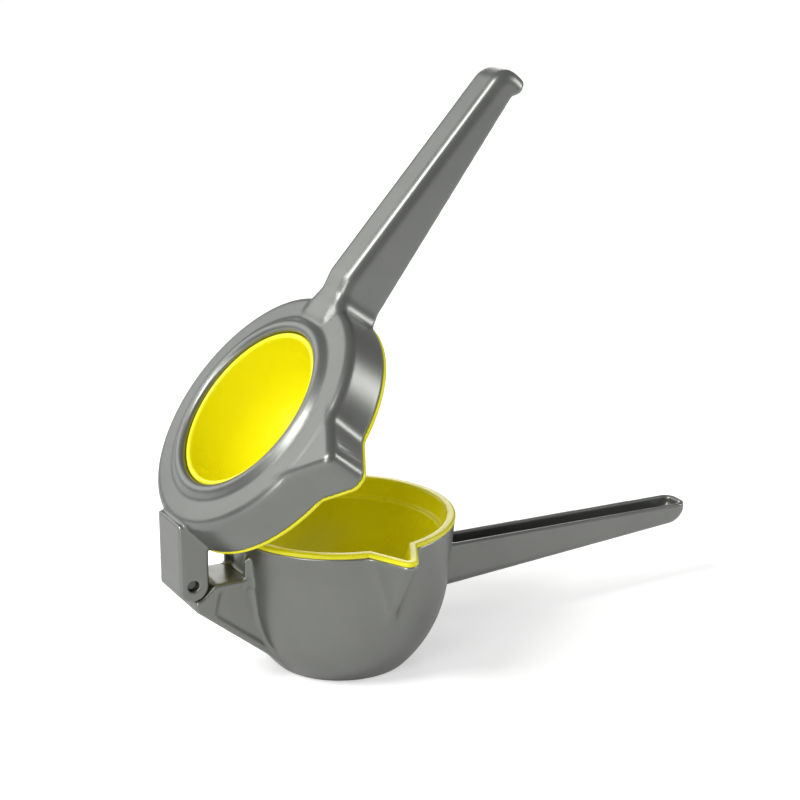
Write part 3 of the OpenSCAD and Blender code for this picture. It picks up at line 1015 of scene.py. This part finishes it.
    def build(self) -> Piece:
        """Joins the casting's parts and makes its mesh.

        Returns:
            The new piece.
        """
        block, radius = self.block, self.block.radius
        bar, trough = self.handle()
        solid = round_min(self.lid(), self.spout(), 1.5)
        solid = round_min(solid, bar, self.handle_fillet)
        solid = round_max(solid, -trough, 0.6)
        solid = round_min(solid, self.fork(), 1.2)
        cavity = np.minimum(radius - self.cavity_r, self.bowl.plan(block, self.cavity_grow))
        cavity = np.maximum(cavity, block.z - self.plate_z)
        solid = round_max(solid, -cavity, 0.3)
        solid = round_max(solid, self.window_r - radius, 0.4)
        # only the fork goes on below the skirt's lower edge
        low = np.where(block.x < self.fork_from, -9.0, self.low_z - block.z)
        solid = round_max(solid, low, 0.3)
        solid = round_max(solid, self.hinge.pin_r - self.hinge.from_pin(block), 0.3)
        return block.skin("upper_casting", solid, self.hinge.swing())


@dataclass
class BowlLiner(SubAssembly):
    """The moulded cup that lines the bowl, with juice slots and a lip over the casting's rim."""

    body = Body.LOWER
    slot = Slot.INSERT

    bowl: BowlShape
    low: Corner = (-49, -64, 8)
    high: Corner = (49, 49, 63)
    step: float = 0.6
    wall: float = 1.3
    fit_gap: float = 0.15
    floor_z: float = 12.0
    ledge_r: float = 0.6
    slots: int = 8
    slot_w: float = 2.6
    slot_in: float = 8.0
    slot_out: float = 21.0
    slot_edge: float = 0.3
    pour_w: float = 7.0
    pour_half: float = 4.0
    pour_depth: float = 6.0
    lip_edge: float = 0.5

    def cup(self, inset: float) -> Array:
        """Field of the cup: a ball below and the bowl's own lean above.

        Args:
            inset: How far it is shrunk all round.

        Returns:
            The field.
        """
        block, bowl = self.block, self.bowl
        clear = bowl.wall + self.fit_gap
        ball_r = bowl.side_x(bowl.belly_z, clear)
        middle = self.floor_z - self.wall + ball_r
        ball = np.hypot(block.radius, block.z - middle) - ball_r + inset
        lean = bowl.up[0] / bowl.up[1]
        cone = block.radius - bowl.side_x(bowl.rim_z, clear + inset) + (bowl.rim_z - block.z) * lean
        return np.maximum(round_min(ball, middle + inset - block.z, self.ledge_r), cone * bowl.up[1])

    def openings(self) -> Array:
        """Field of the juice slots, the middle hole and the pouring slot.

        Returns:
            The field.
        """
        block = self.block
        belly_z, half = self.bowl.belly_z, self.pour_half
        found = block.radius - self.slot_w + 0 * block.z
        for i in range(self.slots):
            a = math.tau * i / self.slots
            along = block.x * math.cos(a) + block.y * math.sin(a)
            across = block.y * math.cos(a) - block.x * math.sin(a)
            beyond = along - np.clip(along, self.slot_in, self.slot_out)
            found = np.minimum(found, np.hypot(beyond, across) - self.slot_w / 2)
        found = np.maximum(found, block.z - belly_z + 3)
        pour = np.maximum(np.abs(block.x) - self.pour_w / 2, np.abs(block.z - (belly_z + 1) - half) - half)
        depth = np.abs(-block.y - self.bowl.rim_r + half) - self.pour_depth
        return np.minimum(found, np.maximum(pour, depth))

    def build(self) -> Piece:
        """Joins the liner's parts and makes its mesh.

        Returns:
            The new piece.
        """
        block, bowl = self.block, self.bowl
        clear = bowl.wall + self.fit_gap
        keel = np.maximum(bowl.keel(block, -clear, bowl.rim_z), bowl.keel_z - 4 - block.z)
        solid = round_min(self.cup(0), keel, 1.0)
        lip = np.minimum(block.radius - bowl.rim_r, bowl.plan(block, 0))
        solid = np.minimum(solid, np.maximum(lip, bowl.rim_z - bowl.lip_h - block.z))
        cavity = round_min(self.cup(self.wall), bowl.keel(block, -clear - self.wall, bowl.rim_z), 1.0)
        solid = round_max(solid, block.z - bowl.rim_z, self.lip_edge)
        solid = round_max(solid, -cavity, self.lip_edge)
        solid = round_max(solid, -self.openings(), self.slot_edge)
        return block.skin("moulded_liner", solid, Matrix.Identity(4))


@dataclass
class PressCup(SubAssembly):
    """The moulded insert of the lid: a dish that presses, a lining and a lip under the skirt."""

    body = Body.UPPER
    slot = Slot.INSERT

    bowl: BowlShape
    hinge: Hinge
    lid: UpperCasting
    low: Corner = (-56, -68, 17)
    high: Corner = (56, 56, 69)
    step: float = 0.6
    dome_r: float = 33.4
    dome_low: float = 19.0
    wall: float = 2.4
    fit_gap: float = 0.15
    rim_over: float = 0.9
    flange: float = 1.5
    lining: float = 1.1
    lining_r: float = 48.2
    spout_gap: float = 1.4
    lip_h: float = 1.59

    def dish(self) -> Array:
        """Field of the dish: a round bottom, a slightly leaning side and a rounded rim.

        Returns:
            The field.
        """
        block = self.block
        middle, top = self.dome_low + self.dome_r, self.lid.top_z + self.rim_over
        turn = np.radians(np.linspace(-100, 0, 48))
        outer_r, inner_r = self.dome_r, self.dome_r - self.wall
        neck = self.lid.window_r - self.fit_gap
        shape = [(outer_r * math.cos(a), middle + outer_r * math.sin(a), 0.0) for a in turn]
        shape += [(neck, top, 1.0), (neck - self.wall, top, 0.9)]
        shape += [(inner_r * math.cos(a), middle + inner_r * math.sin(a), 0.0) for a in turn[::-1]]
        return block.turned(shape)

    def build(self) -> Piece:
        """Joins the insert's parts and makes its mesh.

        Returns:
            The new piece.
        """
        bowl, lid, block = self.bowl, self.lid, self.block
        radius = block.radius
        inner = np.minimum(radius - self.lining_r, bowl.plan(block, self.spout_gap))
        outer = bowl.plan(block, self.spout_gap + self.lining)
        outer = np.minimum(radius - self.lining_r - self.lining, outer)
        body = np.maximum(outer, block.z - lid.plate_z)
        lip = np.minimum(radius - lid.skirt_x(lid.edge_z + self.lip_h), lid.spout_plan(block, 0.0))
        lip = round_max(lip, block.z - lid.edge_z - self.lip_h, 0.1)
        solid = round_max(np.minimum(body, lip), lid.edge_z - block.z, 0.4)
        solid = round_max(solid, -np.maximum(inner, block.z - lid.plate_z + self.flange), 0.3)
        solid = np.maximum(solid, lid.window_r - self.fit_gap - self.wall / 2 - radius)
        solid = np.minimum(solid, self.dish())
        return block.skin("moulded_press_cup", solid, self.hinge.swing())


@dataclass
class HingeSteel(SubAssembly):
    """The hinge's turned steel: the pin and its two thrust washers."""

    body = Body.UPPER
    slot = Slot.STEEL

    hinge: Hinge
    step: float = 0.25

    @cached_property
    def block(self) -> Block:
        """The small block of space round the hinge line.

        Returns:
            The block.
        """
        hinge = self.hinge
        room, half = hinge.knuckle_r + 1, hinge.fork_w / 2
        low = (-hinge.reach - room, -half, hinge.height - room)
        return Block(low, (-hinge.reach + room, half, hinge.height + room), self.step)

    def pin(self) -> Piece:
        """Makes the pin, with rounded ends that lie below the fork's sides.

        Returns:
            The new piece.
        """
        block, hinge = self.block, self.hinge
        ends = np.abs(block.y) - hinge.fork_w / 2 + hinge.pin_sunk
        solid = round_max(hinge.from_pin(block) - hinge.pin_r, ends, hinge.pin_end_r)
        return block.skin("turned_pin", solid, hinge.swing())

    def washers(self) -> Piece:
        """Makes both washers, with broken edges.

        Returns:
            The new piece.
        """
        block, hinge = self.block, self.hinge
        bore = hinge.pin_r + hinge.bore_gap - hinge.from_pin(block)
        ring = np.maximum(hinge.from_pin(block) - hinge.knuckle_r, bore)
        flat = np.abs(np.abs(block.y) - hinge.slot_half + hinge.washer_t / 2) - hinge.washer_t / 2
        return block.skin("turned_washers", round_max(ring, flat, hinge.washer_edge), hinge.swing())


# ---- studio ----


@dataclass(frozen=True)
class Lamp:
    """One light of the studio: its place and what it faces in metres, its size and its power.

    The size is the width of a square in metres, or the angle that a sun fills in degrees.
    """

    name: str
    place: Corner
    size: float
    power: float
    kind: Light = Light.SQUARE
    aim: Corner = (0, 0, 0.08)

    def hang(self) -> None:
        """Adds the light to the scene."""
        data = bpy.data.lights.new(self.name, self.kind.value)
        data.energy = self.power
        if self.kind is Light.SUN:
            data.angle = math.radians(self.size)
        else:
            data.size = self.size
        piece = placed(self.name, data)
        piece.location = self.place
        piece.rotation_euler = (Vector(self.aim) - Vector(self.place)).to_track_quat("-Z", "Y").to_euler()


@dataclass
class Studio:
    """Floor, soft light and the camera, in metres. The lens is in mm.

    The floor glows towards the camera, and the metal mirrors a share of that glow.
    """

    eye: Corner = (-0.33708, -0.66981, 0.34343)
    look: Corner = (0.455715, 0.837871, -0.300492)
    lens: float = 90.72
    floor_half: float = 6.0
    floor_grey: float = 0.82
    floor_glow: float = 0.42
    mirrored: float = 0.28
    around: float = 0.28
    lamps: tuple[Lamp, ...] = (
        Lamp("key", (-0.85, -0.1, 0.95), 20.0, 1.75, Light.SUN, (0, 0, 0)),
        Lamp("left", (-1.1, -0.6, 0.5), 0.5, 5.4),
        Lamp("right", (1.12, -0.36, 0.52), 0.42, 3.4),
        Lamp("back", (-0.62, 1.2, 0.72), 0.9, 3.6),
        Lamp("rim", (-1.0, 0.5, 1.0), 0.3, 3.0),
        Lamp("far", (0.62, 1.2, 0.44), 0.5, 2.4),
    )

    def camera(self) -> None:
        """Puts the camera at the viewing angle."""
        data = bpy.data.cameras.new("camera")
        data.lens, data.sensor_width = self.lens, 36.0
        data.clip_start, data.clip_end = 0.01, 50
        camera = placed("camera", data)
        camera.location = self.eye
        camera.rotation_euler = Vector(self.look).to_track_quat("-Z", "Y").to_euler()
        bpy.context.scene.camera = camera

    def floor(self) -> None:
        """Lays a pale floor that shows white to the camera and keeps the shadow."""
        mesh = bpy.data.meshes.new("floor")
        side, grey = self.floor_half, self.floor_grey
        corners = [(-side, -side, 0), (side, -side, 0), (side, side, 0), (-side, side, 0)]
        mesh.from_pydata(corners, [], [(0, 1, 2, 3)])
        piece = placed("floor", mesh)
        made = bpy.data.materials.new("pale_floor")
        made.use_nodes = True
        w = Wiring(made.node_tree)
        shader = made.node_tree.nodes["Principled BSDF"]
        shader.inputs["Base Color"].default_value = (grey, grey, grey, 1)
        shader.inputs["Roughness"].default_value = 0.9
        shader.inputs["Specular IOR Level"].default_value = 0.0
        shader.inputs["Emission Color"].default_value = (1, 1, 1, 1)
        path = w.add("ShaderNodeLightPath")
        mirrored = w.sums("MULTIPLY", path.outputs["Is Glossy Ray"], self.mirrored)
        seen = w.sums("MAXIMUM", path.outputs["Is Camera Ray"], mirrored)
        w.feed(shader.inputs["Emission Strength"], w.sums("MULTIPLY", seen, self.floor_glow))
        mesh.materials.append(made)

    def world(self) -> None:
        """Makes the background white to the camera, with gentle light from all round."""
        world = bpy.data.worlds.new("studio")
        bpy.context.scene.world = world
        world.use_nodes = True
        w = Wiring(world.node_tree)
        back = world.node_tree.nodes["Background"]
        path = w.add("ShaderNodeLightPath")
        seen = w.sums("MAXIMUM", path.outputs["Is Camera Ray"], path.outputs["Is Transmission Ray"])
        strength = w.sums("ADD", self.around, w.sums("MULTIPLY", seen, 1 - self.around))
        w.feed(back.inputs["Strength"], strength)
        back.inputs["Color"].default_value = (1, 1, 1, 1)

    def build(self) -> None:
        """Sets the whole studio up."""
        self.camera()
        self.floor()
        self.world()
        for lamp in self.lamps:
            lamp.hang()


def main() -> None:
    """Builds the pieces in order and reports each."""
    logging.basicConfig(level=logging.INFO, format="%(message)s")
    bpy.context.scene.view_settings.view_transform = "Standard"
    Studio().build()
    finishes = all_finishes()
    bowl, hinge = BowlShape(), Hinge()
    lower, liner, steel = LowerCasting(bowl, hinge), BowlLiner(bowl), HingeSteel(hinge)
    upper = UpperCasting(bowl, hinge)
    cup = PressCup(bowl, hinge, upper)
    steps: list[tuple[SubAssembly, Callable[[], Piece], str]] = [
        (lower, lower.build, "lower_arm"),
        (liner, liner.build, "bowl_liner"),
        (upper, upper.build, "upper_arm"),
        (cup, cup.build, "press_cup"),
        (steel, steel.pin, "hinge_pin"),
        (steel, steel.washers, "hinge_washers"),
    ]
    for part, build, node in steps:
        piece, body, slot = build(), part.body, part.slot
        part.dress(piece, finishes)
        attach(piece, body.value)
        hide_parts(node)
        log.info("%s: %d faces, finish %s", piece.name, len(piece.data.polygons), slot.value)


if __name__ == "__main__":
    main()
